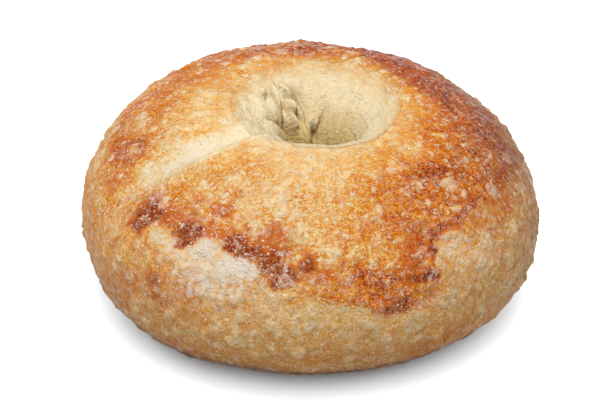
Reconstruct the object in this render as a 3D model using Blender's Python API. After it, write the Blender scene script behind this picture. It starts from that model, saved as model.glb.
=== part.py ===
"""A plain baked bagel: one hand-rolled ring of dough with a narrow, funnel-shaped hole.

The rope of dough was closed into a ring with its end laid over on the left (-X), which leaves a
shallow crease from the hole out to the side, and gathered folds on the far left of the hole.
It rests on a flat baked base at z = 0, and the origin is at the centre of that base.
Metres, +Z up, -Y towards the front.
"""

import math

import bmesh
import bpy
from mathutils import Vector, noise

# Overall size of the ring
OUTER_RADIUS = 0.0560
HEIGHT = 0.0464
BELLY_HEIGHT = 0.0214  # height of the widest line round the side

# The base, the crest and the hole
BASE_OUTER_RADIUS = 0.0368
BASE_INNER_RADIUS = 0.0140
CREST_RADIUS = 0.0205
CREST_SHIFT = 0.0060  # the crest lies further out at the back and nearer the hole in front
THROAT_RADIUS = 0.0060
THROAT_HEIGHT = 0.0260
HOLE_OFFSET = Vector((0.0030, 0.0020, 0.0))

# How full each quarter of the section is: 2 is an ellipse, and more is squarer
SHOULDER_FULLNESS = 2.14
HAUNCH_FULLNESS = 2.36
FUNNEL_FULLNESS = 1.75
UNDERCUT_FULLNESS = 2.2

# Unevenness of the outline: share of the radius, waves round the ring, phase in degrees
OUTLINE_WAVES = ((0.0169, 2, 68.0), (0.0184, 3, 55.0))
# Unevenness of the height: the top is a little higher to the right and the back
HEIGHT_TILT = 0.0150
HEIGHT_TILT_ANGLE = 28.0

# The crease where the end of the rope laps over
SEAM_ANGLE = 207.0
SEAM_DEPTH = 0.0014
SEAM_HALF_WIDTH = 6.5
LAP_ANGLE = 215.0
LAP_HEIGHT = 0.0006
LAP_HALF_WIDTH = 4.0

# Gathered folds that run down into the hole, as lobes with crisp edges, and below them the creases
# between: angle, roll, half width, half length, slant, height. Slant is how far round the hole a
# fold drifts for each degree down it. The first is the end of the rope, pushed into the hole.
HOLE_FOLDS = (
    (117.0, 155.0, 17.0, 12.0, 0.0, 0.0034),
    (127.0, 140.0, 6.0, 10.0, 0.4, 0.0018),
    (119.5, 132.0, 5.5, 6.0, 0.0, 0.0020),
    (134.0, 123.0, 6.0, 18.0, 0.6, 0.0016),
    (117.0, 119.0, 5.0, 10.0, -0.3, 0.0012),
    (149.0, 120.0, 6.0, 18.0, 0.1, 0.0011),
    (162.0, 118.0, 7.0, 18.0, 0.3, 0.0010),
    (168.0, 137.0, 18.0, 14.0, -0.8, 0.0012),
    (56.0, 152.0, 34.0, 26.0, 0.0, 0.0008),
    (154.0, 136.0, 6.0, 16.0, -1.0, -0.0014),
    (141.0, 146.0, 8.0, 14.0, 0.0, -0.0024),
    (98.0, 153.0, 8.0, 15.0, 0.0, -0.0024),
    (88.0, 146.0, 5.0, 14.0, 0.8, -0.0014),
)
PLEAT_HEIGHT = 0.0004
PLEATS_ROUND_HOLE = 24

# Broad dents of the proved dough: angle, roll, half widths of both, depth
DENTS = (
    (82.0, 60.0, 24.0, 32.0, 0.00075),
    (197.0, -6.0, 10.0, 32.0, 0.0005),
    (310.0, -25.0, 24.0, 34.0, 0.0004),
    (262.0, -35.0, 18.0, 25.0, 0.0002),
    (298.0, 94.0, 55.0, 14.0, 0.0017),
    (332.0, 112.0, 24.0, 22.0, 0.0012),
)
# Smaller lumps all over, and which stretch of an endless lumpy pattern they follow
LUMP_HEIGHT = 0.0007
LUMP_SIZE = 0.013
LUMP_PATTERN = Vector((59.5, 12.95, 0.0))

# Roll angle round the section, in degrees: 0 at the belly, 90 on the crest, 180 in the throat,
# then the underside. The flat base lies between BASE_INNER and BASE_OUTER.
BASE_START = -90.0
BELLY = 0.0
CREST = 90.0
THROAT = 180.0
BASE_INNER = 270.0
BASE_OUTER = 360.0

# Mesh density
STEPS_ROUND = 120
SECTION_STEPS = ((BASE_START, 7), (BELLY, 12), (CREST, 16), (THROAT, 4), (BASE_INNER, 2))

CRUST_COLOUR = (0.60, 0.33, 0.13, 1.0)
CRUST_ROUGHNESS = 0.5


def smooth_step(value, start, end):
    """0 before start, 1 after end, and a smooth rise between them."""
    share = min(1.0, max(0.0, (value - start) / (end - start)))
    return share * share * (3.0 - 2.0 * share)


def hump(angle, centre, half_width):
    """A smooth hump of height 1 at centre, measured the short way round a circle of degrees."""
    away = (angle - centre + 180.0) % 360.0 - 180.0
    return math.exp(-((away / half_width) ** 2))


def quarter(roll, fullness):
    """Cosine and sine of a superellipse's quarter, for roll from 0 to 90 degrees."""
    power = 2.0 / fullness
    turn = math.radians(roll)
    return max(0.0, math.cos(turn)) ** power, max(0.0, math.sin(turn)) ** power


def outline_radius(angle):
    """Radius of the widest line at this angle round the ring."""
    waves = (
        share * math.cos(math.radians(count * angle + phase))
        for share, count, phase in OUTLINE_WAVES
    )
    return OUTER_RADIUS * (1.0 + sum(waves))


def section_point(angle, roll):
    """Distance from the ring's axis and height of the plain section."""
    outer = outline_radius(angle)
    top = HEIGHT * (1.0 + HEIGHT_TILT * math.cos(math.radians(angle - HEIGHT_TILT_ANGLE)))
    crest = CREST_RADIUS + CREST_SHIFT * math.sin(math.radians(angle))
    foot = BASE_OUTER_RADIUS * outer / OUTER_RADIUS
    if roll < BELLY:
        out, down = quarter(-roll, HAUNCH_FULLNESS)
        return foot + (outer - foot) * out, BELLY_HEIGHT * (1.0 - down)
    if roll < CREST:
        out, up = quarter(roll, SHOULDER_FULLNESS)
        return crest + (outer - crest) * out, BELLY_HEIGHT + (top - BELLY_HEIGHT) * up
    if roll < THROAT:
        up, inward = quarter(roll - CREST, FUNNEL_FULLNESS)
        return (
            crest - (crest - THROAT_RADIUS) * inward,
            THROAT_HEIGHT + (top - THROAT_HEIGHT) * up,
        )
    if roll < BASE_INNER:
        inward, down = quarter(roll - THROAT, UNDERCUT_FULLNESS)
        return (
            BASE_INNER_RADIUS - (BASE_INNER_RADIUS - THROAT_RADIUS) * inward,
            THROAT_HEIGHT * (1.0 - down),
        )
    share = (roll - BASE_INNER) / (BASE_OUTER - BASE_INNER)
    return BASE_INNER_RADIUS + (foot - BASE_INNER_RADIUS) * share, 0.0


def plain_point(angle, roll):
    """A point on the ring before its creases, folds and lumps. The hole sits off centre."""
    radius, height = section_point(angle, roll)
    outer = outline_radius(angle)
    shift = smooth_step((outer - radius) / (outer - THROAT_RADIUS), 0.0, 1.0)
    turn = math.radians(angle)
    on_circle = Vector((radius * math.cos(turn), radius * math.sin(turn), height))
    return on_circle + HOLE_OFFSET * shift


def outward(angle, roll):
    """Unit normal of the plain ring, pointing out of the dough."""
    step = 0.25
    along = plain_point(angle + step, roll) - plain_point(angle - step, roll)
    across = plain_point(angle, roll + step) - plain_point(angle, roll - step)
    return along.cross(across).normalized()


def seam_relief(angle, roll):
    """The crease beside the lapped end, with the lap's raised edge on its front side."""
    reach = smooth_step(roll, 0.0, 32.0) * (1.0 - smooth_step(roll, 95.0, 135.0))
    crease = -SEAM_DEPTH * hump(angle, SEAM_ANGLE, SEAM_HALF_WIDTH)
    lap = LAP_HEIGHT * hump(angle, LAP_ANGLE, LAP_HALF_WIDTH)
    return reach * (crease + lap)


def fold_relief(angle, roll):
    """Lobes, creases and finer, uneven pleats that run down the funnel of the hole."""
    gathered = 0.0
    for at, level, width, length, slant, height in HOLE_FOLDS:
        drift = (angle - slant * (roll - level) - at + 180.0) % 360.0 - 180.0
        spread = min(1.0, math.hypot(drift / width, (roll - level) / length))
        gathered += height * ((1.0 - spread**2) ** 0.6 if height > 0.0 else (1.0 - spread) ** 1.3)
    turn = math.radians(angle)
    round_hole = Vector((math.cos(turn), math.sin(turn), roll / 300.0))
    pleats = PLEAT_HEIGHT * noise.noise(round_hole * PLEATS_ROUND_HOLE / math.pi)
    pleats *= smooth_step(roll, 95.0, 125.0) * (1.0 - smooth_step(roll, 150.0, 175.0))
    return gathered + pleats


def dent_relief(angle, roll):
    """Broad, shallow dents in the rim and the side."""
    return -sum(
        depth * hump(angle, at, width) * math.exp(-(((roll - level) / rise) ** 2))
        for at, level, width, rise, depth in DENTS
    )


def lump_relief(place, roll):
    """Shallow lumps, which die out towards the flat base and the throat."""
    reach = smooth_step(roll, -70.0, -30.0) * (1.0 - smooth_step(roll, 70.0, 110.0))
    return LUMP_HEIGHT * reach * noise.noise(place / LUMP_SIZE + LUMP_PATTERN)


def dough_point(angle, roll):
    """A point on the finished surface of the bagel."""
    place = plain_point(angle, roll)
    if roll <= BASE_START or roll >= BASE_INNER:
        return place
    relief = seam_relief(angle, roll) + fold_relief(angle, roll)
    relief += dent_relief(angle, roll) + lump_relief(place, roll)
    return place + outward(angle, roll) * relief


def section_rolls():
    """Roll angle of every row of the mesh, from the foot up over the crest and back under."""
    ends = [start for start, _ in SECTION_STEPS[1:]] + [BASE_OUTER]
    return [
        start + (end - start) * step / steps
        for (start, steps), end in zip(SECTION_STEPS, ends)
        for step in range(steps)
    ]


def ring_mesh(name):
    """The closed skin of the bagel, as a grid that joins up round the ring and the section."""
    bm = bmesh.new()
    rolls = section_rolls()
    angles = [360.0 * step / STEPS_ROUND for step in range(STEPS_ROUND)]
    grid = [[bm.verts.new(dough_point(angle, roll)) for roll in rolls] for angle in angles]
    for column, here in enumerate(grid):
        beside = grid[(column + 1) % STEPS_ROUND]
        for row in range(len(rolls)):
            above = (row + 1) % len(rolls)
            bm.faces.new((here[row], beside[row], beside[above], here[above]))
    mesh = bpy.data.meshes.new(name)
    bm.to_mesh(mesh)
    bm.free()
    mesh.shade_smooth()
    return mesh


def centre_on_base(mesh):
    """Moves the mesh so that the origin is midway across it in X and Y, at the base."""
    for axis in (0, 1):
        values = [vertex.co[axis] for vertex in mesh.vertices]
        middle = (min(values) + max(values)) / 2.0
        for vertex in mesh.vertices:
            vertex.co[axis] -= middle


def crust_material():
    """Golden baked crust with a slight shine."""
    material = bpy.data.materials.new("crust")
    material.use_nodes = True
    shader = material.node_tree.nodes["Principled BSDF"]
    shader.inputs["Base Color"].default_value = CRUST_COLOUR
    shader.inputs["Roughness"].default_value = CRUST_ROUGHNESS
    shader.inputs["Metallic"].default_value = 0.0
    return material


def main():
    for old in list(bpy.data.objects):
        bpy.data.objects.remove(old)
    mesh = ring_mesh("bagel")
    centre_on_base(mesh)
    mesh.materials.append(crust_material())
    bagel = bpy.data.objects.new("bagel", mesh)
    bpy.context.scene.collection.objects.link(bagel)


main()
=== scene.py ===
"""A plain baked bagel on a pale table: one lapped ring of dough under a blistered, golden crust."""

import math

import bpy
import numpy as np
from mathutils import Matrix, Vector, noise


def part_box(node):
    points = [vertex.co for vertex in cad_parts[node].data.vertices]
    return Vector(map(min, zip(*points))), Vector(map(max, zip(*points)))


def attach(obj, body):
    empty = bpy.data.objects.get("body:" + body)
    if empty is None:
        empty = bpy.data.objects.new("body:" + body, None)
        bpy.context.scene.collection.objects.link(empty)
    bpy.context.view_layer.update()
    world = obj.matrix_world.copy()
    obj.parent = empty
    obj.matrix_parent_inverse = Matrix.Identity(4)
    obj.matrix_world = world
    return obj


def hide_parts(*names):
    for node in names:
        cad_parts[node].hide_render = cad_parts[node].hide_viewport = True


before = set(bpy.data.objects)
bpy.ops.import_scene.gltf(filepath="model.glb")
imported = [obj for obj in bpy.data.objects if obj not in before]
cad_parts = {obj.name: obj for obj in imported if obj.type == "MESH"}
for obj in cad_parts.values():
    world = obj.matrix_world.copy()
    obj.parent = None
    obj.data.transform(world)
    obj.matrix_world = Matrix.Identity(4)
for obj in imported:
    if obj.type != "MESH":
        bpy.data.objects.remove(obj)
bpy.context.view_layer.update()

# --- The proved dough -----------------------------------------------------------------------
# The bagel is a hand-rolled rope of wheat dough, closed into a ring with its end lapped over on
# the left. Boiling sets the skin before the oven swells it, which leaves a plump ring with a
# narrow funnel for a hole, gathered folds on the far left of the hole, and broad shallow lumps.

OUTER_RADIUS = 0.0560
HEIGHT = 0.0464
BELLY_HEIGHT = 0.0214
BASE_OUTER_RADIUS = 0.0368
BASE_INNER_RADIUS = 0.0140
CREST_RADIUS = 0.0205
CREST_SHIFT = 0.0060
THROAT_RADIUS = 0.0060
THROAT_HEIGHT = 0.0260
HOLE_OFFSET = (0.0030, 0.0020)
SHOULDER_FULLNESS = 2.14
HAUNCH_FULLNESS = 2.36
FUNNEL_FULLNESS = 1.75
UNDERCUT_FULLNESS = 2.2
OUTLINE_WAVES = ((0.0169, 2, 68.0), (0.0184, 3, 55.0))
HEIGHT_TILT = 0.0150
HEIGHT_TILT_ANGLE = 28.0

# Roll is the angle round the section in degrees: the belly at 0, the crest at 90, the throat at
# 180, then the underside. The flat base lies between BASE_INNER and BASE_OUTER.
BASE_START, BELLY, CREST, THROAT, BASE_INNER, BASE_OUTER = -90.0, 0.0, 90.0, 180.0, 270.0, 360.0

# Rings of the skin: first roll of the stretch, rings in it, points round each ring
RING_BANDS = (
    (-90.0, 17, 600),
    (-30.0, 22, 600),
    (0.0, 68, 600),
    (80.0, 60, 300),
    (156.0, 14, 150),
    (200.0, 12, 150),
    (270.0, 5, 150),
    (318.0, 4, 300),
)


def smooth_step(value, start, end):
    """0 before start, 1 after end, and a smooth rise between them."""
    share = np.clip((value - start) / (end - start), 0.0, 1.0)
    return share * share * (3.0 - 2.0 * share)


def hump(angle, centre, half_width):
    """A smooth hump of height 1, measured the short way round a circle of degrees."""
    return np.exp(-((((angle - centre + 180.0) % 360.0 - 180.0) / half_width) ** 2))


def quarter(roll, fullness):
    """Cosine and sine of a superellipse's quarter, for roll from 0 to 90 degrees."""
    turn = np.radians(np.clip(roll, 0.0, 90.0))
    power = 2.0 / fullness
    return np.cos(turn).clip(0.0) ** power, np.sin(turn) ** power


def plain_ring(angle, roll):
    """Points on the ring before its creases, folds and lumps. The hole sits off centre."""
    turn = np.radians(angle)
    waves = sum(
        share * np.cos(np.radians(count * angle + phase)) for share, count, phase in OUTLINE_WAVES
    )
    outer = OUTER_RADIUS * (1.0 + waves)
    top = HEIGHT * (1.0 + HEIGHT_TILT * np.cos(np.radians(angle - HEIGHT_TILT_ANGLE)))
    crest = CREST_RADIUS + CREST_SHIFT * np.sin(turn)
    foot = BASE_OUTER_RADIUS * outer / OUTER_RADIUS
    haunch_out, haunch_down = quarter(-roll, HAUNCH_FULLNESS)
    shoulder_out, shoulder_up = quarter(roll, SHOULDER_FULLNESS)
    funnel_up, funnel_in = quarter(roll - CREST, FUNNEL_FULLNESS)
    under_in, under_down = quarter(roll - THROAT, UNDERCUT_FULLNESS)
    base_share = (roll - BASE_INNER) / (BASE_OUTER - BASE_INNER)
    stretches = [roll < BELLY, roll < CREST, roll < THROAT, roll < BASE_INNER]
    radius = np.select(
        stretches,
        [
            foot + (outer - foot) * haunch_out,
            crest + (outer - crest) * shoulder_out,
            crest - (crest - THROAT_RADIUS) * funnel_in,
            BASE_INNER_RADIUS - (BASE_INNER_RADIUS - THROAT_RADIUS) * under_in,
        ],
        BASE_INNER_RADIUS + (foot - BASE_INNER_RADIUS) * base_share,
    )
    height = np.select(
        stretches,
        [
            BELLY_HEIGHT * (1.0 - haunch_down),
            BELLY_HEIGHT + (top - BELLY_HEIGHT) * shoulder_up,
            THROAT_HEIGHT + (top - THROAT_HEIGHT) * funnel_up,
            THROAT_HEIGHT * (1.0 - under_down),
        ],
        0.0,
    )
    shift = smooth_step((outer - radius) / (outer - THROAT_RADIUS), 0.0, 1.0)
    across = radius * np.cos(turn) + HOLE_OFFSET[0] * shift
    along = radius * np.sin(turn) + HOLE_OFFSET[1] * shift
    return np.stack([across, along, height], axis=-1)


def outward(angle, roll):
    """Unit normals of the plain ring, pointing out of the dough."""
    step = 0.25
    along = plain_ring(angle + step, roll) - plain_ring(angle - step, roll)
    across = plain_ring(angle, roll + step) - plain_ring(angle, roll - step)
    normal = np.cross(along, across)
    return normal / np.linalg.norm(normal, axis=1)[:, None]


def grain(places, size, pattern=(0.0, 0.0, 0.0)):
    """Smooth noise from about -1 to 1, with features of that size. Pattern picks a stretch of it."""
    spots = places / size + np.array(pattern)
    return np.array([noise.noise(spot) for spot in spots.tolist()])


# The rings, from the foot up over the crest, down the hole and back under
ring_rolls = []
ring_counts = []
band_ends = [band[0] for band in RING_BANDS[1:]] + [BASE_OUTER]
for (band_start, rings, points), band_end in zip(RING_BANDS, band_ends):
    for step in range(rings):
        ring_rolls.append(band_start + (band_end - band_start) * step / rings)
        ring_counts.append(points)
angles = np.concatenate([np.arange(count) * 360.0 / count for count in ring_counts])
rolls = np.repeat(ring_rolls, ring_counts)
plain = plain_ring(angles, rolls)
normals = outward(angles, rolls)
turns = np.radians(angles)
round_ring = np.stack([np.cos(turns), np.sin(turns)], axis=-1)

# The crease beside the lapped end of the rope, and the raised edge of the lap
SEAM_ANGLE = 207.0
SEAM_DEPTH = 0.0014
SEAM_HALF_WIDTH = 6.5
LAP_ANGLE = 215.0
LAP_HEIGHT = 0.0006
LAP_HALF_WIDTH = 4.0
seam_reach = smooth_step(rolls, 0.0, 32.0) * (1.0 - smooth_step(rolls, 95.0, 135.0))
relief = seam_reach * (
    LAP_HEIGHT * hump(angles, LAP_ANGLE, LAP_HALF_WIDTH)
    - SEAM_DEPTH * hump(angles, SEAM_ANGLE, SEAM_HALF_WIDTH)
)

# Gathered folds of the hole, as lobes with crisp edges, and the creases between them: angle, roll,
# half width, half length, slant, height. Slant is how far round the hole a fold drifts for each
# degree down it.
HOLE_FOLDS = (
    (117.0, 155.0, 17.0, 12.0, 0.0, 0.0034),
    (127.0, 140.0, 6.0, 10.0, 0.4, 0.0018),
    (119.5, 132.0, 5.5, 6.0, 0.0, 0.0020),
    (134.0, 123.0, 6.0, 18.0, 0.6, 0.0016),
    (117.0, 119.0, 5.0, 10.0, -0.3, 0.0012),
    (138.0, 112.5, 5.0, 5.0, 0.0, 0.0011),
    (149.0, 120.0, 6.0, 18.0, 0.1, 0.0011),
    (162.0, 118.0, 7.0, 18.0, 0.3, 0.0010),
    (168.0, 137.0, 18.0, 14.0, -0.8, 0.0012),
    (56.0, 152.0, 34.0, 26.0, 0.0, 0.0008),
    (154.0, 136.0, 6.0, 16.0, -1.0, -0.0014),
    (141.0, 146.0, 8.0, 14.0, 0.0, -0.0024),
    (98.0, 153.0, 8.0, 15.0, 0.0, -0.0024),
    (88.0, 146.0, 5.0, 14.0, 0.8, -0.0014),
    (109.0, 126.0, 4.0, 14.0, -0.3, -0.0010),
    (141.0, 122.0, 3.5, 14.0, 0.4, -0.0010),
)
PLEAT_HEIGHT = 0.0004
PLEATS_ROUND_HOLE = 24
for at, level, width, length, slant, height in HOLE_FOLDS:
    drift = (angles - slant * (rolls - level) - at + 180.0) % 360.0 - 180.0
    spread = np.hypot(drift / width, (rolls - level) / length).clip(0.0, 1.0)
    relief += height * ((1.0 - spread**2) ** 0.9 if height > 0.0 else (1.0 - spread) ** 1.3)
pleats = grain(np.column_stack([round_ring, rolls / 300.0]), math.pi / PLEATS_ROUND_HOLE)
relief += (
    PLEAT_HEIGHT
    * pleats
    * smooth_step(rolls, 95.0, 125.0)
    * (1.0 - smooth_step(rolls, 150.0, 175.0))
)

# Broad dents: angle, roll, half widths of both, depth; and smaller lumps all over
DENTS = (
    (82.0, 60.0, 24.0, 32.0, 0.00075),
    (197.0, -6.0, 10.0, 32.0, 0.0005),
    (310.0, -25.0, 24.0, 34.0, 0.0004),
    (262.0, -35.0, 18.0, 25.0, 0.0002),
    (298.0, 94.0, 55.0, 14.0, 0.0017),
    (332.0, 112.0, 24.0, 22.0, 0.0012),
)
for at, level, width, rise, depth in DENTS:
    relief -= depth * hump(angles, at, width) * np.exp(-(((rolls - level) / rise) ** 2))
LUMP_HEIGHT = 0.0007
LUMP_SIZE = 0.013
LUMP_PATTERN = (59.5, 12.95, 0.0)
lump_reach = smooth_step(rolls, -70.0, -30.0) * (1.0 - smooth_step(rolls, 70.0, 110.0))
relief += LUMP_HEIGHT * lump_reach * grain(plain, LUMP_SIZE, LUMP_PATTERN)

dough = plain + normals * relief[:, None]

# --- The crust ------------------------------------------------------------------------------
# The outside is the same dough, dried and browned by the oven: amber to dark brown where the top
# crust blistered, with a raised, scorched bead where it ends on the front, and pale, floury and
# dull on the side below that and down the hole, where the heat hardly reached. Painted shade
# darkens the side towards the foot, the depth of the hole and the gaps between its folds, and
# painted light marks the tops of those folds, small glints and thin bright squiggles.

# Where the browned top ends, as roll for each angle round the ring, from the seam to the right
CAP_EDGE = (
    (0.0, -2.0),
    (30.0, -8.0),
    (60.0, 2.0),
    (120.0, 16.0),
    (165.0, 22.0),
    (180.0, 18.0),
    (197.0, 18.0),
    (204.0, 30.0),
    (210.0, 50.0),
    (212.5, 30.0),
    (219.0, 28.5),
    (222.5, 38.0),
    (230.0, 39.0),
    (233.5, 31.0),
    (236.5, 40.0),
    (245.0, 41.0),
    (247.5, 36.0),
    (257.0, 34.5),
    (261.0, 26.0),
    (265.0, 20.5),
    (272.0, 17.0),
    (281.0, 12.0),
    (289.0, 7.0),
    (296.0, 3.0),
    (299.5, 8.0),
    (301.5, 16.0),
    (303.0, 27.0),
    (306.0, 37.5),
    (313.0, 38.5),
    (325.0, 41.0),
    (329.0, 36.0),
    (332.0, 25.0),
    (345.0, 14.0),
    (360.0, -2.0),
)


def patch(angle, roll, spot):
    """A soft-edged oval: 1 in the middle, 0 outside. Spot is angle, roll and the half widths."""
    at, level, width, rise = spot
    away = (angle - at + 180.0) % 360.0 - 180.0
    distance = np.hypot(away / width, (roll - level) / rise)
    return 1.0 - smooth_step(distance, 0.3, 1.3)


# Nothing that baked is straight-edged, so every patch is laid on a slightly wandering skin
wander = grain(plain, 0.0055, (3.1, 0.0, 0.0)) + 0.6 * grain(plain, 0.002, (0.0, 7.7, 0.0))
stray = grain(plain, 0.0055, (0.0, 4.9, 0.0)) + 0.6 * grain(plain, 0.002, (8.3, 0.0, 0.0))
skin_angle = angles + 2.0 * wander
skin_roll = rolls + 3.2 * stray

edge_angle, edge_roll = np.array(CAP_EDGE).T
above_edge = skin_roll - np.interp(skin_angle % 360.0, edge_angle, edge_roll)
cap = smooth_step(above_edge, -4.0, 4.0)


def patches(spots):
    """The sum of soft ovals, each given as angle, roll, half widths of both, and amount."""
    return sum(amount * patch(skin_angle, skin_roll, spot) for *spot, amount in spots)


# How brown the top crust is
CAP_BROWNING = 0.41
FUNNEL_BROWNING = 0.10
into_hole = smooth_step(skin_roll + 6.0 * np.cos(turns - math.radians(250.0)), 82.0, 116.0)
cap_browning = CAP_BROWNING + patches(
    (
        (325.0, 54.0, 42.0, 24.0, 0.20),
                        (350.0, 74.0, 16.0, 12.0, 0.16),
        (286.0, 18.0, 20.0, 14.0, 0.11),
        (298.5, 46.0, 4.0, 6.0, 0.08),
        (38.0, 73.0, 34.0, 15.0, 0.34),
        (10.0, 60.0, 22.0, 15.0, 0.20),
        (5.0, 45.0, 24.0, 16.0, 0.10),
                (90.0, 78.0, 34.0, 11.0, 0.22),
        (85.0, 60.0, 50.0, 20.0, 0.20),
        (145.0, 66.0, 34.0, 26.0, 0.16),
        (163.0, 44.0, 10.0, 8.0, 0.16),
        (184.0, 44.0, 14.0, 9.0, 0.20),
        (190.0, 55.0, 10.0, 5.0, 0.16),
        (228.0, 45.0, 14.0, 10.0, 0.14),
        (255.0, 42.0, 12.0, 7.0, 0.14),
        (206.5, 72.0, 11.0, 32.0, -0.30),
        (208.0, 92.0, 30.0, 9.0, -0.16),
        (270.0, 88.0, 56.0, 14.0, -0.09),
        (262.0, 66.0, 26.0, 14.0, -0.05),
        (344.0, 73.0, 2.4, 4.0, -0.40),
        (270.0, 62.0, 30.0, 22.0, -0.04),
        (301.5, 33.0, 5.0, 7.0, 0.20),
        (337.0, 41.0, 10.0, 9.0, 0.10),
        (200.0, 70.0, 24.0, 20.0, -0.05),
        (270.0, 46.0, 10.0, 8.0, -0.05),
        (289.0, 24.0, 16.0, 14.0, 0.05),
        (292.0, 20.0, 9.0, 11.0, 0.10),
        (282.0, 27.0, 10.0, 8.0, 0.08),
        (190.0, 48.0, 14.0, 14.0, 0.08),
        (318.0, 62.0, 16.0, 12.0, 0.08),
        (164.0, 77.0, 22.0, 12.0, -0.06),
        (184.0, 77.0, 20.0, 14.0, -0.10),
        (140.0, 84.0, 20.0, 14.0, -0.08),
        (213.0, 76.0, 14.0, 12.0, -0.12),
        (350.0, 100.0, 40.0, 16.0, -0.07),
        (150.0, 82.0, 22.0, 12.0, -0.06),
    )
)
cap_browning += (FUNNEL_BROWNING - cap_browning) * into_hole

# How brown the side is, and its ragged, scorched foot
SIDE_BROWNING = 0.36
side_browning = SIDE_BROWNING + patches(
    (
        (213.0, 32.0, 3.0, 5.0, 0.14),
        (214.0, 17.0, 3.0, 5.0, 0.16),
        (201.0, 27.0, 7.0, 5.0, 0.22),
        (196.0, 16.0, 10.0, 14.0, 0.12),
        (221.0, 5.0, 4.0, 6.0, 0.18),
        (229.0, 11.0, 4.0, 4.5, 0.22),
        (231.0, 2.0, 5.0, 9.0, 0.26),
        (241.0, 8.0, 5.0, 8.0, 0.12),
        (309.0, 37.0, 12.0, 5.0, 0.14),
        (324.0, 33.0, 12.0, 9.0, 0.20),
        (300.0, 12.0, 5.0, 8.0, 0.14),
        (304.0, 24.0, 4.0, 6.0, 0.14),
        (345.0, 18.0, 18.0, 14.0, 0.04),
        (210.5, 38.0, 4.0, 9.0, 0.28),
        (232.0, 12.0, 14.0, 16.0, 0.05),
        (20.0, 5.0, 40.0, 30.0, 0.12),
        (140.0, 5.0, 60.0, 30.0, 0.12),
        (207.0, 30.0, 4.5, 16.0, -0.14),
        (228.0, 32.0, 5.5, 6.0, -0.12),
        (246.0, 32.0, 12.0, 9.0, -0.16),
        (309.0, 31.0, 8.0, 7.0, -0.10),
        (236.0, 18.0, 8.0, 10.0, 0.10),
        (198.0, 30.0, 14.0, 16.0, 0.08),
        (212.0, -12.0, 16.0, 26.0, 0.14),
        (224.0, 24.0, 6.0, 8.0, 0.10),
        (276.0, 6.0, 18.0, 12.0, -0.10),
        (304.0, -24.0, 14.0, 14.0, 0.14),
        (240.0, -28.0, 14.0, 12.0, 0.08),
    )
)
# Painted shade: the first term browns the lower side a little more towards the bottom; the second is
# the scorched foot
side_browning += 0.08 * smooth_step(-rolls, 5.0, 35.0) + 0.30 * smooth_step(-skin_roll, 34.0, 50.0)

# Scorched blotches and drips, mostly along the front edge of the top crust
scorch = patches(
    (
        (218.5, 39.0, 5.0, 6.0, 1.1),
        (217.5, 33.0, 4.5, 6.0, 0.9),
        (219.0, 45.0, 6.2, 5.0, 0.69),
        (227.5, 43.5, 5.0, 5.0, 0.2),
        (233.0, 41.0, 4.2, 5.2, 0.95),
        (234.0, 35.0, 2.5, 5.5, 0.69),
        (240.0, 54.0, 4.2, 4.2, 0.69),
        (249.0, 40.5, 4.0, 5.5, 1.15),
        (253.5, 37.5, 4.2, 4.2, 1.15),
        (259.5, 33.0, 3.0, 4.2, 1.4),
        (263.0, 38.0, 4.5, 4.8, 0.92),
        (264.0, 26.5, 3.8, 6.2, 1.15),
        (270.5, 33.5, 2.8, 4.0, 1.15),
        (271.0, 29.0, 8.8, 6.2, 0.46),
        (259.0, 48.0, 4.5, 4.2, 0.45),
        (258.0, 42.0, 10.0, 6.2, 0.22),
        (292.5, 8.5, 6.2, 6.2, 1.03),
        (302.0, 20.5, 3.2, 3.5, 1.15),
        (298.0, 21.0, 3.8, 3.8, 0.57),
        (296.5, 26.0, 5.0, 10.0, 0.46),
        (299.0, 37.0, 4.0, 5.0, 0.60),
        (303.0, 33.0, 3.0, 6.0, 0.60),
        (325.0, 47.0, 5.0, 4.0, 0.45),
        (335.0, 30.0, 3.8, 5.0, 0.57),
        (48.0, 72.0, 12.0, 8.0, 0.55),
        (38.0, 70.0, 26.0, 14.0, 0.4),
        (12.0, 60.0, 12.0, 8.0, 0.35),
        (85.0, 74.0, 40.0, 12.0, 0.22),
        (164.0, 44.0, 7.0, 5.0, 0.4),
        (185.0, 44.0, 7.0, 5.0, 0.5),
        (193.0, 50.0, 5.0, 5.0, 0.5),
        (198.0, 37.0, 4.0, 5.0, 0.5),
    )
)
# A thin scorched line follows the very edge of the top crust, strongest on the right
edge_line = np.exp(-(((above_edge - 1.5) / 2.4) ** 2))
right_edge = smooth_step(skin_angle, 298.0, 303.0) * (1.0 - smooth_step(skin_angle, 326.0, 333.0))
left_edge = smooth_step(skin_angle, 214.0, 218.0) * (1.0 - smooth_step(skin_angle, 262.0, 268.0))
scorch += edge_line * (0.95 * right_edge + 0.30 * left_edge)
scorch += 0.28 * left_edge * np.exp(-(((above_edge - 5.0) / 7.0) ** 2))

# The foot and base that lay on the oven's stone, browned dark
foot_roll = -skin_roll - 6.0 * np.cos(turns - math.radians(330.0))
singed = smooth_step(foot_roll, 31.0, 41.0)

# Where the heat dulled the skin to mauve; on the right rim this mauve is partly a painted grazing
# sheen
mauve_and_sheen = patches(
    (
        (42.0, 62.0, 34.0, 24.0, 1.4),
        (4.0, 44.0, 26.0, 24.0, 0.9),
        (350.0, 22.0, 26.0, 26.0, 0.5),
        (345.0, -10.0, 30.0, 26.0, 0.3),
        (90.0, 56.0, 40.0, 20.0, 0.4),
        (216.5, 44.0, 5.0, 6.0, 0.8),
        (230.0, 45.0, 6.0, 6.0, 0.4),
        (260.0, 44.0, 9.0, 8.0, 0.6),
        (303.0, 42.0, 5.0, 4.0, 0.6),
    )
)
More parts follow.
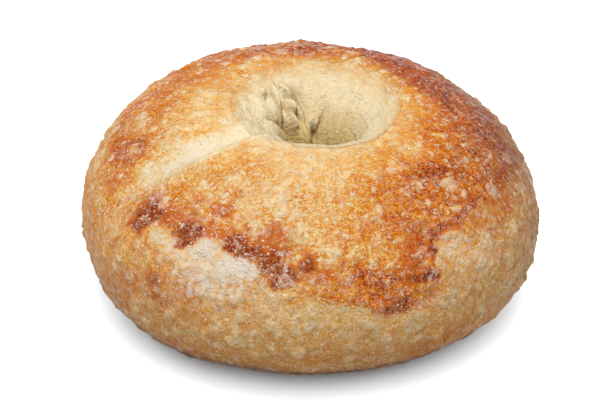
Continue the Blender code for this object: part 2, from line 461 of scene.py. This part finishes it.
# Flour left from the board, thickest below the scorched edge
flour = 0.10 * (1.0 - cap) * (1.0 - into_hole) * smooth_step(rolls, -40.0, 0.0) + patches(
    (
        (241.0, 37.0, 6.0, 5.0, 0.62),
        (206.0, 62.0, 6.0, 34.0, 0.38),
        (252.0, 30.0, 6.0, 5.0, 0.85),
        (245.0, 25.0, 14.0, 12.0, 0.45),
        (246.0, 12.0, 22.0, 12.0, 0.25),
        (228.0, 32.0, 5.0, 5.0, 0.45),
        (316.0, 20.0, 20.0, 20.0, 0.22),
        (310.0, 32.0, 6.0, 5.0, 0.35),
        (217.0, 46.0, 5.0, 4.0, 0.30),
        (231.0, 45.0, 6.0, 4.0, 0.35),
        (264.0, 38.0, 4.0, 3.0, 0.30),
    )
)
# How thickly the flaky skins of small blisters cover the crust
flaky = 0.34 - 0.32 * into_hole + patches(
    (
        (252.0, 62.0, 26.0, 20.0, 0.22),
        (236.0, 52.0, 14.0, 8.0, 0.16),
        (318.0, 62.0, 12.0, 8.0, -0.10),
        (12.0, 84.0, 14.0, 10.0, -0.35),
        (301.5, 33.0, 6.0, 7.0, -0.50),
        (285.0, 24.0, 16.0, 14.0, 0.04),
        (245.0, 24.0, 24.0, 16.0, 0.20),
        (40.0, 60.0, 50.0, 20.0, -0.14),
        (213.0, 30.0, 4.0, 12.0, -0.25),
        (206.0, 60.0, 6.0, 30.0, -0.14),
    )
)
# Painted shade: a darker, yellow-olive colour deep in the hole
hole_shade = smooth_step(rolls, 122.0, 156.0)
# How far the skin is drawn out in streaks along the ring, behind the hole and around its rim
streaky = smooth_step(rolls, 62.0, 84.0) * (1.0 - smooth_step(rolls, 112.0, 128.0))
streaky = np.maximum(streaky, smooth_step(np.sin(turns), 0.1, 0.6) * smooth_step(rolls, 20.0, 40.0))
# Painted shade: the side is darkened towards the foot
foot = smooth_step(-rolls, -20.0, 50.0)

# The raised bead along the front edge of the top crust
bead = np.exp(-(((above_edge - 2.0) / 3.0) ** 2))
front = smooth_step(skin_angle, 211.0, 216.0) * (1.0 - smooth_step(skin_angle, 328.0, 336.0))


def blisters(places, size, share, pattern):
    """Low domes on a random share of the spots of that spacing, as height from 0 to 1."""
    domes = []
    for spot in (places / size + np.array(pattern)).tolist():
        distances, centres = noise.voronoi(spot)
        bubble = noise.cell(centres[0] * 7.0) % 1.0 < share
        domes.append(max(0.0, 1.0 - (distances[0] / 0.52) ** 2) if bubble else 0.0)
    return np.array(domes)


# The small, crisp lobes the skin is gathered into at the back left of the hole, on the folds of
# the dough: angle, roll, half width, half length, slant, height
LOBES = (
    (138.5, 111.5, 3.6, 4.2, 0.0, 0.0008),
    (131.5, 119.5, 3.2, 9.5, 0.58, 0.0011),
    (140.5, 123.0, 3.0, 8.0, 0.50, 0.0007),
    (119.0, 119.5, 3.0, 6.5, -0.37, 0.0010),
    (125.0, 122.0, 2.6, 6.0, 0.40, 0.0006),
    (121.5, 130.0, 5.0, 5.5, 0.0, 0.0013),
    (133.0, 136.0, 3.4, 6.0, 0.30, 0.0008),
    (126.5, 140.5, 5.0, 6.8, -0.10, 0.0012),
    (98.0, 145.0, 9.0, 6.0, 0.0, 0.0009),
    (112.0, 137.0, 4.0, 7.0, -0.30, 0.0007),
    (149.0, 127.0, 4.0, 8.0, 0.40, 0.0008),
    (157.0, 119.0, 5.0, 9.0, 0.60, 0.0007),
    (165.0, 106.0, 8.0, 5.0, 1.00, 0.0006),
)
lit_lobe_tops = np.zeros(len(angles))
lobe_relief = np.zeros(len(angles))
for at, level, width, length, slant, height in LOBES:
    drift = (angles - slant * (rolls - level) - at + 180.0) % 360.0 - 180.0
    dome = (1.0 - np.hypot(drift / width, (rolls - level) / length) ** 2).clip(0.0)
    lit_lobe_tops = np.maximum(lit_lobe_tops, dome)
    lobe_relief = np.maximum(lobe_relief, 0.85 * height * dome**0.8)
# Painted shade in the gaps between the lobes of the folds; the lobe mask itself carries painted light
# on their tops
between = patch(angles, rolls, (128.0, 130.0, 26.0, 20.0)) * (1.0 - smooth_step(lit_lobe_tops, 0.0, 0.5))
between = np.maximum(between, 0.8 * patch(angles, rolls, (140.0, 146.0, 16.0, 10.0)))

up_side = smooth_step(rolls, -62.0, -35.0) * (1.0 - smooth_step(rolls, 150.0, 170.0))
in_funnel = smooth_step(rolls, 95.0, 120.0)
loose = plain + 0.0008 * np.column_stack([wander, stray, wander - stray])
plates = blisters(loose, 0.0042, 0.45, (0.0, 0.0, 9.1)) * (1.0 - in_funnel)
blebs = blisters(loose, 0.0024, 0.55, (6.0, 0.0, 0.0)) * (1.0 - in_funnel)
crumbs = blisters(loose, 0.0016, 0.60, (0.0, 6.0, 0.0)) * (1.0 - in_funnel)
down_hole = np.column_stack([round_ring * 0.018, rolls * 0.00008])
fine_relief = 0.00024 * grain(plain, 0.0045, (1.7, 3.3, 0.0))
fine_relief += 0.00012 * grain(plain, 0.0018, (5.2, 0.0, 2.6))
fine_relief += (0.00045 * plates + 0.00034 * blebs + 0.00022 * crumbs) * (1.2 - 0.2 * cap)
fine_relief += in_funnel * (0.00036 * grain(down_hole, 0.0018) + 0.00020 * grain(down_hole, 0.0009))
fine_relief += 0.00030 * bead * front
on_lip = smooth_step(rolls, 72.0, 92.0) * (1.0 - smooth_step(rolls, 125.0, 145.0))
fine_relief += 0.00045 * on_lip * grain(plain, 0.0050, (2.2, 8.1, 0.0)) + lobe_relief
swollen = 0.40 * plates + 0.35 * blebs + 0.25 * crumbs
skin = dough + normals * (fine_relief * up_side)[:, None]
skin[:, 2] = skin[:, 2].clip(0.0)
on_base = (rolls <= BASE_START) | (rolls >= BASE_INNER)
skin[on_base] = dough[on_base]

# The ring was shaped about the middle of its rope; its place is the middle of the CAD's box
offset = (dough.max(axis=0) + dough.min(axis=0)) / 2.0
cad_low, cad_high = (np.array(corner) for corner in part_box("bagel"))
offset -= (cad_low + cad_high) / 2.0
offset[2] = 0.0
skin -= offset


def ring_faces(counts):
    """Faces that close the skin. Where a ring has half the points of its neighbour, triangles join."""
    faces = []
    starts = np.concatenate([[0], np.cumsum(counts)]).tolist()
    for row, here in enumerate(counts):
        above = (row + 1) % len(counts)
        there = counts[above]
        base, top = starts[row], starts[above]
        for step in range(min(here, there)):
            after = (step + 1) % min(here, there)
            if here == there:
                faces.append((base + step, base + after, top + after, top + step))
                continue
            fine, coarse = (base, top) if here > there else (top, base)
            first = fine + 2 * step
            middle = first + 1
            last = fine + (2 * step + 2) % max(here, there)
            corner, next_corner = coarse + step, coarse + after
            triangles = [
                (first, middle, corner),
                (middle, next_corner, corner),
                (middle, last, next_corner),
            ]
            faces += triangles if here > there else [face[::-1] for face in triangles]
    return faces


crust_mesh = bpy.data.meshes.new("crust")
crust_mesh.from_pydata(skin.tolist(), [], ring_faces(ring_counts))
crust_mesh.shade_smooth()
skin_layers = {
    "cap": 0.5 + above_edge / (40.0 - 26.0 * front),
    "cap_browning": cap_browning,
    "side_browning": side_browning,
    "scorch": scorch,
    "mauve_and_sheen": mauve_and_sheen,
    "flour": flour,
    "flaky": flaky,
    "hole_shade": hole_shade,
    "foot": foot,
    "streaky": streaky,
    "swollen": swollen,
    "raw": into_hole,
    "between": between,
    "singed": singed,
    "lit_lobe_tops": lit_lobe_tops,
}
# The skin's own directions, for streaks: stretched along the ring, and stretched across it
MIDDLE_RADIUS = 0.036
ARC_PER_DEGREE = 0.0004
STREAK_STRETCH = 4.0
down_skin = rolls * ARC_PER_DEGREE
round_skin = np.column_stack([np.cos(turns), np.sin(turns)]) * MIDDLE_RADIUS
skin_directions = {
    "along": np.column_stack([round_skin / STREAK_STRETCH, down_skin]),
    "across": np.column_stack([round_skin, down_skin / STREAK_STRETCH]),
}
for name, values in skin_layers.items():
    layer = crust_mesh.attributes.new(name, "FLOAT", "POINT")
    layer.data.foreach_set("value", np.clip(values, 0.0, 1.2))
for name, values in skin_directions.items():
    layer = crust_mesh.attributes.new(name, "FLOAT_VECTOR", "POINT")
    layer.data.foreach_set("vector", values.ravel())
crust = bpy.data.objects.new("crust", crust_mesh)
bpy.context.scene.collection.objects.link(crust)


def paint(red, green, blue):
    """A colour given as 0 to 255 display values, as the shaders take it."""
    parts = [value / 255.0 for value in (red, green, blue)]
    return [p / 12.92 if p <= 0.04045 else ((p + 0.055) / 1.055) ** 2.4 for p in parts] + [1.0]


def new_material(name):
    """A node material with only its Principled shader."""
    material = bpy.data.materials.new(name)
    material.use_nodes = True
    return material, material.node_tree, material.node_tree.nodes["Principled BSDF"]


def add_node(tree, kind, inputs, **settings):
    """A node with its settings, and each input given as a value or as another node's output."""
    made = tree.nodes.new(kind)
    for setting, value in settings.items():
        setattr(made, setting, value)
    for socket, value in inputs.items():
        if isinstance(value, bpy.types.NodeSocket):
            tree.links.new(value, made.inputs[socket])
        else:
            made.inputs[socket].default_value = value
    return made


def calculate(tree, operation, first, second=0.0, clamp=False):
    """The output of a Math node."""
    inputs = {0: first, 1: second}
    return add_node(tree, "ShaderNodeMath", inputs, operation=operation, use_clamp=clamp).outputs[0]


def rise(tree, value, low, high, start=0.0, end=1.0):
    """From start to end, smoothly, as value goes from low to high."""
    inputs = {"Value": value, "From Min": low, "From Max": high, "To Min": start, "To Max": end}
    made = add_node(tree, "ShaderNodeMapRange", inputs, interpolation_type="SMOOTHSTEP")
    return made.outputs["Result"]


def mottle(tree, place, size, detail=2.0, roughness=0.5, warp=0.0):
    """Noise about 0.5 with features of that size in metres."""
    inputs = {"Vector": place, "Scale": 1.0 / size, "Detail": detail}
    inputs.update({"Roughness": roughness, "Distortion": warp})
    return add_node(tree, "ShaderNodeTexNoise", inputs).outputs["Fac"]


def blend_colours(tree, share, first, second):
    """First and second colour mixed by share."""
    made = add_node(tree, "ShaderNodeMix", {0: share, 6: first, 7: second}, data_type="RGBA")
    return made.outputs[2]


def shake(tree, place, size, reach):
    """The place moved about by up to reach, at random with features of that size."""
    noisy = add_node(
        tree, "ShaderNodeTexNoise", {"Vector": place, "Scale": 1.0 / size, "Detail": 2.0}
    )
    centred = add_node(
        tree,
        "ShaderNodeVectorMath",
        {0: noisy.outputs["Color"], 1: (0.5, 0.5, 0.5)},
        operation="SUBTRACT",
    )
    scaled = add_node(
        tree, "ShaderNodeVectorMath", {0: centred.outputs[0], "Scale": 2.0 * reach}, operation="SCALE"
    )
    return add_node(tree, "ShaderNodeVectorMath", {0: place, 1: scaled.outputs[0]}).outputs[0]


def flakes(tree, place, spacing, share, softness):
    """Rounded flakes of random size on a share of the spots: their cover, swell and own number."""
    cells = add_node(tree, "ShaderNodeTexVoronoi", {"Vector": place, "Scale": 1.0 / spacing})
    numbers = add_node(tree, "ShaderNodeSeparateColor", {"Color": cells.outputs["Color"]}).outputs
    spare = calculate(tree, "SUBTRACT", share, numbers[0])
    chosen = rise(tree, spare, -0.04, 0.04)
    radius = rise(tree, numbers[1], 0.0, 1.0, 0.28, 0.62)
    closeness = calculate(tree, "SUBTRACT", radius, cells.outputs["Distance"])
    cover = calculate(tree, "MULTIPLY", chosen, rise(tree, closeness, 0.0, softness))
    swell = calculate(tree, "MULTIPLY", chosen, rise(tree, closeness, -0.02, 0.3))
    return cover, swell, numbers[2]


def threads(tree, place, size, sharpness):
    """Thin wandering lines, 1 on the line, spaced about that size."""
    noise_value = mottle(tree, place, size, 2.0, 0.5)
    away = calculate(tree, "ABSOLUTE", calculate(tree, "SUBTRACT", noise_value, 0.5))
    return rise(tree, away, sharpness, 0.0)


def crust_finish():
    """Baked crust: browning, scorch, blister skins and flour, with painted shade and light, from its
    own layers.
    """
    material, tree, shader = new_material("crust")
    place = add_node(tree, "ShaderNodeTexCoord", {}).outputs["Object"]
    layers = {
        name: add_node(tree, "ShaderNodeAttribute", {}, attribute_name=name).outputs["Fac"]
        for name in skin_layers
    }
    add = lambda first, second: calculate(tree, "ADD", first, second)
    times = lambda first, second: calculate(tree, "MULTIPLY", first, second)

    along, across = (
        add_node(tree, "ShaderNodeAttribute", {}, attribute_name=name).outputs["Vector"]
        for name in skin_directions
    )

    # Mottling in several sizes, and streaks along and across the ring
    drift = mottle(tree, place, 0.006, 3.0)
    curl = mottle(tree, place, 0.0020, 3.0, 0.6, 0.8)
    dust = mottle(tree, place, 0.0006, 2.0, 0.6)
    curds = mottle(tree, place, 0.0012, 4.0, 0.72)
    streaks = mottle(tree, along, 0.0010, 4.0, 0.72)
    wrinkles = mottle(tree, across, 0.0011, 3.0, 0.6)

    # Skins of small blisters in three sizes, and painted glints: near-white specks standing for
    # highlights. They crowd together in places
    crowd = add(layers["flaky"], rise(tree, mottle(tree, place, 0.0045), 0.35, 0.65, -0.22, 0.22))
    ragged = shake(tree, shake(tree, place, 0.0016, 0.0010), 0.0005, 0.0005)
    crumbled = shake(tree, place, 0.0005, 0.0005)
    plate, plate_swell, plate_tint = flakes(tree, ragged, 0.0036, times(crowd, 0.8), 0.07)
    bleb, bleb_swell, bleb_tint = flakes(tree, ragged, 0.0016, crowd, 0.12)
    crumb, crumb_swell, crumb_tint = flakes(tree, crumbled, 0.0008, times(crowd, 0.7), 0.2)
    glinting = add(times(crowd, 0.25), times(layers["scorch"], 0.12))
    glint, glint_swell, glint_tint = flakes(tree, crumbled, 0.0005, glinting, 0.3)

    # How brown each point is: the top crust ends in a ragged edge on the side
    edge = add(layers["cap"], rise(tree, curl, 0.3, 0.7, -0.14, 0.14))
    on_cap = rise(tree, edge, 0.43, 0.54)
    gap = calculate(tree, "SUBTRACT", layers["cap_browning"], layers["side_browning"])
    brown = add(layers["side_browning"], times(on_cap, gap))
    unstreaked = calculate(tree, "SUBTRACT", 1.0, times(layers["streaky"], 0.6))
    for change in (
        rise(tree, drift, 0.3, 0.7, -0.05, 0.05),
        rise(tree, curl, 0.3, 0.7, -0.06, 0.06),
        times(rise(tree, dust, 0.3, 0.7, -0.17, 0.17), unstreaked),
        times(on_cap, rise(tree, streaks, 0.3, 0.7, -0.07, 0.07)),
        rise(tree, wrinkles, 0.3, 0.7, -0.05, 0.05),
        # Browner between the blisters and paler on their tops: partly the paler blister skin, partly
        # painted shade in the hollows
        rise(tree, layers["swollen"], 0.0, 0.5, 0.06, -0.08),
    ):
        brown = add(brown, change)
    ramp = add_node(tree, "ShaderNodeValToRGB", {"Fac": brown})
    shades = (
        (0.00, (238, 222, 188)),
        (0.15, (237, 211, 166)),
        (0.30, (231, 187, 117)),
        (0.45, (222, 152, 58)),
        (0.60, (212, 114, 20)),
        (0.75, (184, 80, 8)),
        (0.88, (142, 52, 12)),
        (1.00, (80, 26, 20)),
    )
    stops = ramp.color_ramp.elements
    stops[0].position, stops[0].color = shades[0][0], paint(*shades[0][1])
    stops[1].position, stops[1].color = shades[-1][0], paint(*shades[-1][1])
    for position, shade in shades[1:-1]:
        stops.new(position).color = paint(*shade)
    colour = ramp.outputs["Color"]

    # The crust turns to smooth, pale dough down the hole
    colour = blend_colours(tree, times(layers["raw"], 0.5), colour, paint(250, 234, 196))

    # The side is a duller tan than the top, and painted shade darkens it towards the foot
    off_cap = calculate(tree, "SUBTRACT", 1.0, on_cap)
    colour = blend_colours(tree, times(off_cap, 0.2), colour, paint(222, 164, 96))
    colour = blend_colours(tree, times(layers["foot"], 0.40), colour, paint(150, 98, 46))

    # Mauve skin, partly a painted sheen on the right rim, and scorched blotches with ragged edges:
    # red-brown, and purple in the middle
    colour = blend_colours(tree, times(layers["mauve_and_sheen"], 0.52), colour, paint(122, 56, 58))
    burnt = add(layers["scorch"], rise(tree, curl, 0.3, 0.7, -0.18, 0.18))
    burnt = add(burnt, rise(tree, curds, 0.3, 0.7, 0.20, -0.20))
    scorched = rise(tree, layers["scorch"], 0.02, 0.25)
    fringe = times(scorched, rise(tree, burnt, 0.20, 0.50))
    core = rise(tree, burnt, 0.45, 1.25)
    colour = blend_colours(tree, times(fringe, 0.75), colour, paint(204, 96, 14))
    charring = rise(tree, dust, 0.35, 0.65, 1.0, 0.55)
    colour = blend_colours(tree, times(core, charring), colour, paint(122, 40, 12))

    # Grit and blister skins: cream, or lilac where the crust is scorched
    lilac = calculate(tree, "ADD", layers["mauve_and_sheen"], fringe, clamp=True)
    skin_colour = blend_colours(tree, lilac, paint(252, 230, 190), paint(236, 190, 160))
    lumpy = add(curds, times(layers["streaky"], calculate(tree, "SUBTRACT", streaks, curds)))
    crusted = add(lumpy, times(calculate(tree, "SUBTRACT", crowd, 0.4), 0.22))
    crusted = add(crusted, rise(tree, layers["swollen"], 0.0, 0.6, -0.06, 0.08))
    caking = times(rise(tree, crusted, 0.48, 0.68, 0.0, 0.40), rise(tree, fringe, 0.0, 1.0, 1.0, 0.5))
    colour = blend_colours(tree, caking, colour, skin_colour)
    flake_strength = calculate(tree, "SUBTRACT", 1.0, times(off_cap, 0.5))
    for cover, tint, least, most in (
        (plate, plate_tint, 0.10, 0.60),
        (bleb, bleb_tint, 0.15, 0.75),
        (crumb, crumb_tint, 0.10, 0.70),
    ):
        thickness = times(rise(tree, tint, 0.1, 0.9, least, most), flake_strength)
        thickness = times(thickness, rise(tree, curds, 0.38, 0.58, 0.5, 1.0))
        colour = blend_colours(tree, times(cover, thickness), colour, skin_colour)

    # The singed foot
    colour = blend_colours(tree, times(layers["singed"], 0.72), colour, paint(104, 62, 24))

    # Painted highlights: thin bright squiggles, as light caught on the wrinkled skin
    highlight_squiggles = times(threads(tree, ragged, 0.0014, 0.035), rise(tree, curl, 0.45, 0.60))
    highlight_squiggles = times(highlight_squiggles, rise(tree, layers["raw"], 1.0, 0.3))
    colour = blend_colours(tree, times(highlight_squiggles, 0.55), colour, paint(253, 236, 208))

    # Painted shade deep in the hole, then painted shade and light on the folds there, then flour,
    # then painted glints: the smallest, whitest specks, standing for highlights
    colour = blend_colours(tree, times(layers["hole_shade"], 0.70), colour, paint(222, 184, 100))
    # Painted shade between the lobes, then painted light on the lobe tops
    colour = blend_colours(tree, times(layers["between"], 0.5), colour, paint(192, 140, 52))
    colour = blend_colours(tree, times(layers["lit_lobe_tops"], 0.6), colour, paint(250, 236, 196))
    dusting = add(layers["flour"], rise(tree, curl, 0.3, 0.7, -0.18, 0.18))
    dusting = add(dusting, rise(tree, curds, 0.3, 0.7, -0.32, 0.32))
    dusting = rise(tree, dusting, 0.2, 1.0, 0.0, 0.80)
    colour = blend_colours(tree, dusting, colour, paint(232, 219, 204))
    # Painted glints: near-white highlights
    colour = blend_colours(tree, times(glint, 0.85), colour, paint(254, 246, 232))
    swallowed = add_node(
        tree, "ShaderNodeVectorMath", {0: colour, "Scale": 0.50}, operation="SCALE"
    ).outputs[0]
    tree.links.new(swallowed, shader.inputs["Base Color"])

    # Gloss on the brown, none on flour
    shader.inputs["Specular IOR Level"].default_value = 0.05
    gloss = rise(tree, brown, 0.3, 0.8, 0.50, 0.28)
    dull = calculate(tree, "ADD", gloss, times(dusting, 0.4), clamp=True)
    tree.links.new(dull, shader.inputs["Roughness"])

    # Relief too fine for the mesh
    height = times(plate_swell, 0.8)
    for part, tall in (
        (bleb_swell, 0.8),
        (crumb_swell, 0.5),
        (glint_swell, 0.3),
        (lumpy, 2.5),
        (dust, 0.6),
        (wrinkles, 0.5),
    ):
        height = add(height, times(part, tall))
    bump = add_node(
        tree, "ShaderNodeBump", {"Height": height, "Strength": 0.8, "Distance": 0.0004}
    )
    tree.links.new(bump.outputs["Normal"], shader.inputs["Normal"])
    return material


crust_mesh.materials.append(crust_finish())
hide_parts("bagel")
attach(crust, "root")

# --- The table ------------------------------------------------------------------------------
# A wide, matt white sheet of card that the bagel lies on.

TABLE_HALF_WIDTH = 3.0
table_mesh = bpy.data.meshes.new("table")
corners = [(-1, -1), (1, -1), (1, 1), (-1, 1)]
table_mesh.from_pydata(
    [(TABLE_HALF_WIDTH * x, TABLE_HALF_WIDTH * y, -0.0001) for x, y in corners], [], [(0, 1, 2, 3)]
)
table = bpy.data.objects.new("table", table_mesh)
bpy.context.scene.collection.objects.link(table)
card, card_tree, card_shader = new_material("card")
fibres = mottle(card_tree, add_node(card_tree, "ShaderNodeTexCoord", {}).outputs["Object"], 0.002)
card_shader.inputs["Base Color"].default_value = (0.90, 0.94, 0.96, 1.0)
card_tree.links.new(rise(card_tree, fibres, 0.0, 1.0, 0.85, 0.95), card_shader.inputs["Roughness"])
table_mesh.materials.append(card)

# --- The light ------------------------------------------------------------------------------
# A bright white room, one soft lamp on the bagel alone, and a wide light panel over the table.

room = bpy.data.worlds.new("room")
bpy.context.scene.world = room
room.use_nodes = True
room_tree = room.node_tree
facing = add_node(room_tree, "ShaderNodeTexCoord", {}).outputs["Generated"]
facing_up = add_node(room_tree, "ShaderNodeSeparateXYZ", {"Vector": facing}).outputs["Z"]
WALL_LIGHT = 0.42
CEILING_LIGHT = 0.85
brightness = rise(room_tree, facing_up, -0.1, 1.0, WALL_LIGHT, CEILING_LIGHT)
room_tree.links.new(brightness, room_tree.nodes["Background"].inputs["Strength"])
room_tree.nodes["Background"].inputs["Color"].default_value = (1.0, 1.0, 1.0, 1.0)


def soft_lamp(name, place, aim, size, watts, lit):
    """A square lamp that faces aim and lights one object."""
    lamp = bpy.data.lights.new(name, "AREA")
    lamp.size = size
    lamp.energy = watts
    holder = bpy.data.objects.new(name, lamp)
    holder.location = place
    holder.rotation_euler = (Vector(aim) - Vector(place)).to_track_quat("-Z", "Y").to_euler()
    bpy.context.scene.collection.objects.link(holder)
    group = bpy.data.collections.new(name)
    group.objects.link(lit)
    holder.light_linking.receiver_collection = group


soft_lamp("overhead", (-0.09, -0.18, 0.74), (0.0, 0.0, 0.02), 0.24, 9.3, crust)
soft_lamp("panel", (0.0, 0.0, 1.0), (0.0, 0.0, 0.0), 4.0, 90.0, table)

# --- The camera -----------------------------------------------------------------------------
# It looks down at the front of the bagel from a little over half a metre away.

CAMERA_ELEVATION = math.radians(33.0)
CAMERA_DISTANCE = 0.60
LENS = 144.5
AIM_HEIGHT = 0.024
AIM_RIGHT = -0.00166
AIM_UP = -0.00177
back = Vector((0.0, -math.cos(CAMERA_ELEVATION), math.sin(CAMERA_ELEVATION)))
up = Vector((0.0, math.sin(CAMERA_ELEVATION), math.cos(CAMERA_ELEVATION)))
aim = Vector((AIM_RIGHT - offset[0], -offset[1], AIM_HEIGHT)) + up * AIM_UP
camera_data = bpy.data.cameras.new("camera")
camera_data.lens = LENS
camera_data.sensor_width = 36.0
camera_data.clip_start = 0.01
camera = bpy.data.objects.new("camera", camera_data)
camera.location = aim + back * CAMERA_DISTANCE
camera.rotation_euler = (-back).to_track_quat("-Z", "Y").to_euler()
bpy.context.scene.collection.objects.link(camera)
bpy.context.scene.camera = camera
bpy.context.scene.view_settings.view_transform = "Standard"
